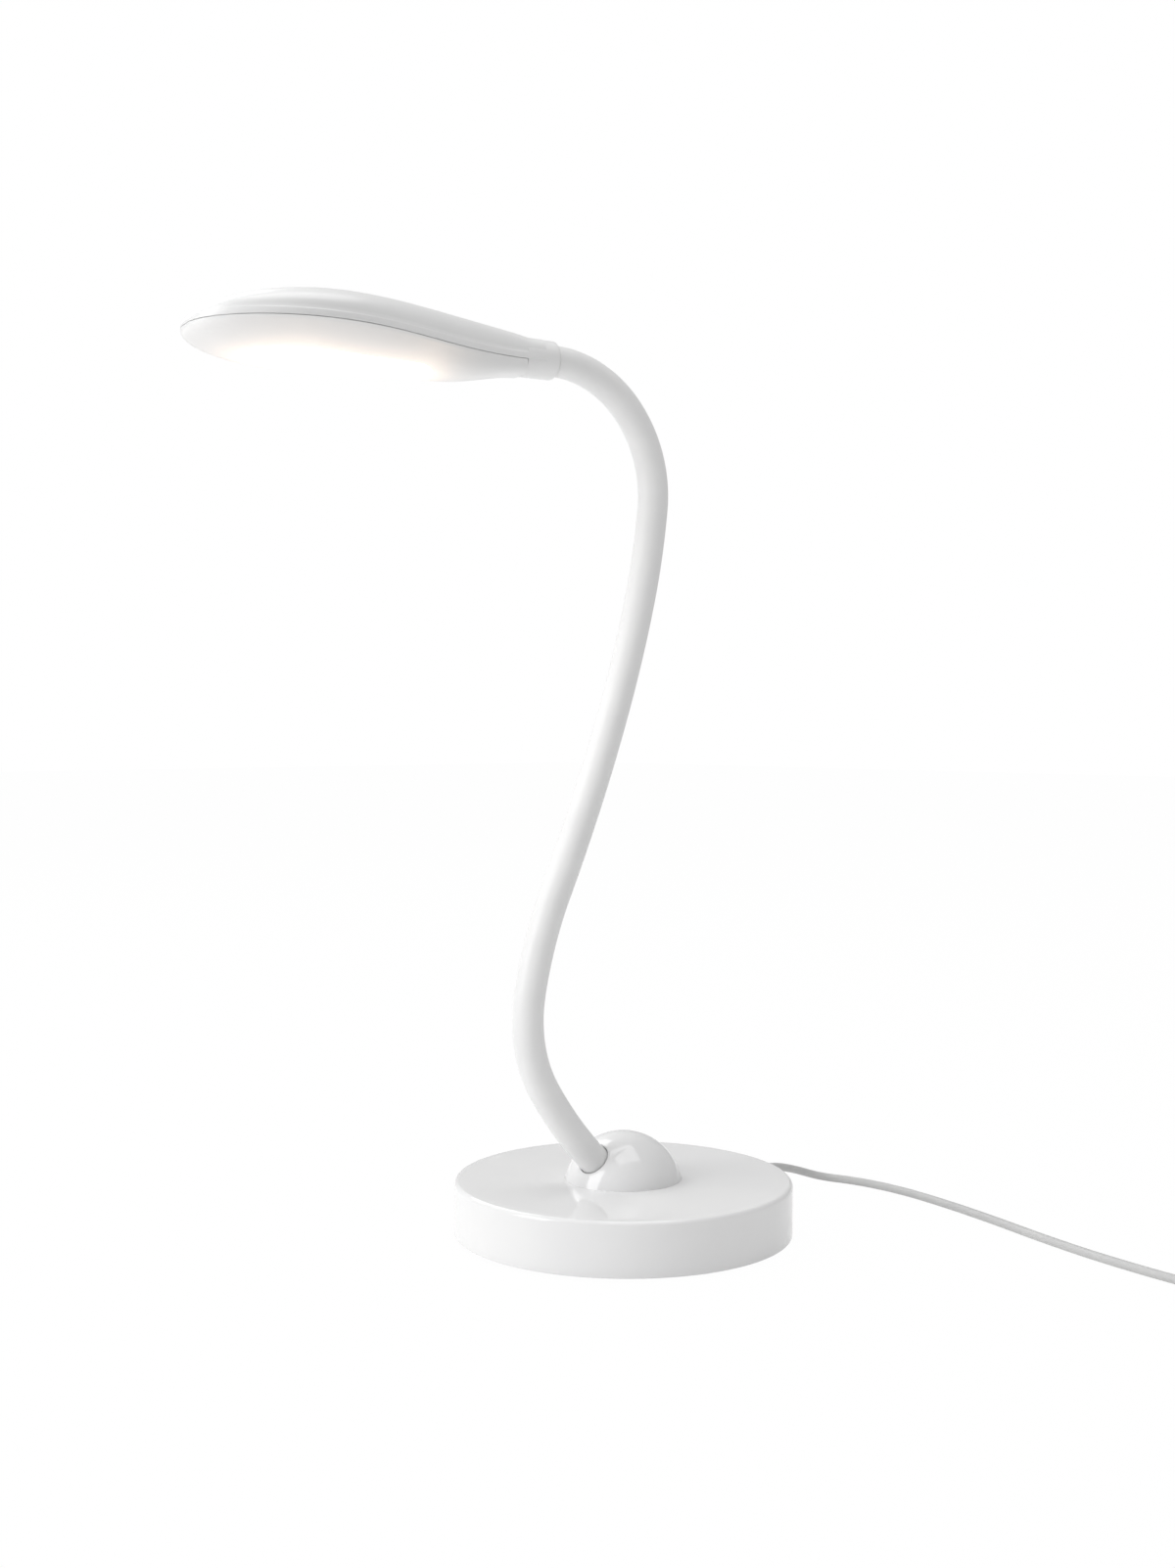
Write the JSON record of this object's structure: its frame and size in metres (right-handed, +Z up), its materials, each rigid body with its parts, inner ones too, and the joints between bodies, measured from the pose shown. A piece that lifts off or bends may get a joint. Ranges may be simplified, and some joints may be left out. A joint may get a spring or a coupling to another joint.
{
  "type": "desk lamp",
  "caption": "Gooseneck desk lamp with a flat pear-shaped light head, a bendable sleeved neck and a round weighted base.",
  "frame": {"origin": "centre of the foot pad's underside, on the table", "axes": "+Z up, +X towards the head, -X where the cord leaves the base"},
  "size_m": [0.2915, 0.3296, 0.3443],
  "materials": {
    "white_gloss": "glossy white",
    "white_satin": "satin white",
    "foot_rubber": "matt, slightly grippy",
    "steel": "plain steel",
    "ballast_iron": "rough cast",
    "screw_steel": "zinc plated",
    "circuit_board": "white solder mask",
    "board_parts": "matt black",
    "cord_plastic": "satin, flexible",
    "tie_plastic": "matt",
    "plug_metal": "bright plated",
    "tongue_plastic": "matt",
    "contact_brass": "plated",
    "wire_cover": "satin",
    "diffuser_plastic": "milky, lets light through",
    "led_yellow": "phosphor"
  },
  "bodies": {
    "base": {"base_cover": "white_gloss", "base_dome": "white_gloss", "foot_pad": "foot_rubber", "base_plate": "steel", "ballast_weight": "ballast_iron", "base_screws": "screw_steel", "driver_board": "circuit_board", "driver_parts": "board_parts", "neck_ferrule": "steel", "neck_nut": "steel", "strain_relief": "cord_plastic", "cord_tail": "cord_plastic", "cord": "cord_plastic", "cord_coil": "cord_plastic", "cord_tie": "tie_plastic", "plug_body": "cord_plastic", "plug_shell": "plug_metal", "plug_tongue": "tongue_plastic", "plug_contacts": "contact_brass", "base_wire": "wire_cover", "neck_sleeve_1": "white_satin", "neck_tube_1": "steel", "neck_wire_1": "wire_cover"},
    "neck_2": {"neck_sleeve_2": "white_satin", "neck_tube_2": "steel", "neck_wire_2": "wire_cover"},
    "neck_3": {"neck_sleeve_3": "white_satin", "neck_tube_3": "steel", "neck_wire_3": "wire_cover"},
    "neck_4": {"neck_sleeve_4": "white_satin", "neck_tube_4": "steel", "neck_wire_4": "wire_cover"},
    "neck_5": {"neck_sleeve_5": "white_satin", "neck_tube_5": "steel", "neck_wire_5": "wire_cover"},
    "neck_6": {"neck_sleeve_6": "white_satin", "neck_tube_6": "steel", "neck_wire_6": "wire_cover"},
    "neck_7": {"neck_sleeve_7": "white_satin", "neck_tube_7": "steel", "neck_wire_7": "wire_cover"},
    "neck_8": {"neck_sleeve_8": "white_satin", "neck_tube_8": "steel", "neck_wire_8": "wire_cover"},
    "head": {"neck_sleeve_9": "white_satin", "neck_tube_9": "steel", "neck_wire_9": "wire_cover", "head_cover": "white_gloss", "lower_shell": "white_gloss", "diffuser": "diffuser_plastic", "reflector_frame": "white_satin", "led_board": "circuit_board", "led_chips": "led_yellow", "head_screws": "screw_steel", "head_ferrule": "steel", "head_nut": "steel", "switch_board": "circuit_board", "switch_body": "board_parts", "head_wire": "wire_cover"},
    "button": {"power_button": "white_gloss"}
  },
  "joints": [
    {"name": "neck_bend_1", "type": "hinge", "parent": "base", "child": "neck_2", "pos_m": [0.04218, 0, 0.06003], "axis": [0, 1, 0], "range_deg": [-20, 20]},
    {"name": "neck_bend_2", "type": "hinge", "parent": "neck_2", "child": "neck_3", "pos_m": [0.04968, 0, 0.0969], "axis": [0, 1, 0], "range_deg": [-20, 20]},
    {"name": "neck_bend_3", "type": "hinge", "parent": "neck_3", "child": "neck_4", "pos_m": [0.03682, 0, 0.13323], "axis": [-0.8879, 0, -0.46], "range_deg": [-25, 25]},
    {"name": "neck_bend_4", "type": "hinge", "parent": "neck_4", "child": "neck_5", "pos_m": [0.01999, 0, 0.16803], "axis": [0, 1, 0], "range_deg": [-20, 20]},
    {"name": "neck_bend_5", "type": "hinge", "parent": "neck_5", "child": "neck_6", "pos_m": [0.00526, 0, 0.20377], "axis": [0, 1, 0], "range_deg": [-20, 20]},
    {"name": "neck_bend_6", "type": "hinge", "parent": "neck_6", "child": "neck_7", "pos_m": [-0.00681, 0, 0.24048], "axis": [-0.9623, 0, -0.2721], "range_deg": [-25, 25]},
    {"name": "neck_bend_7", "type": "hinge", "parent": "neck_7", "child": "neck_8", "pos_m": [-0.01441, 0, 0.27835], "axis": [0.2521, 0.9672, 0.03], "range_deg": [-20, 20]},
    {"name": "neck_bend_8", "type": "hinge", "parent": "neck_8", "child": "head", "pos_m": [-0.00493, -0.00362, 0.31465], "axis": [0.2521, 0.9672, 0.03], "range_deg": [-20, 20]},
    {"name": "button_press", "type": "slide", "parent": "head", "child": "button", "axis": [0.011, 0.038, -0.9992], "range_m": [0, 0.0008], "stiffness_N_per_m": 600}
  ]
}
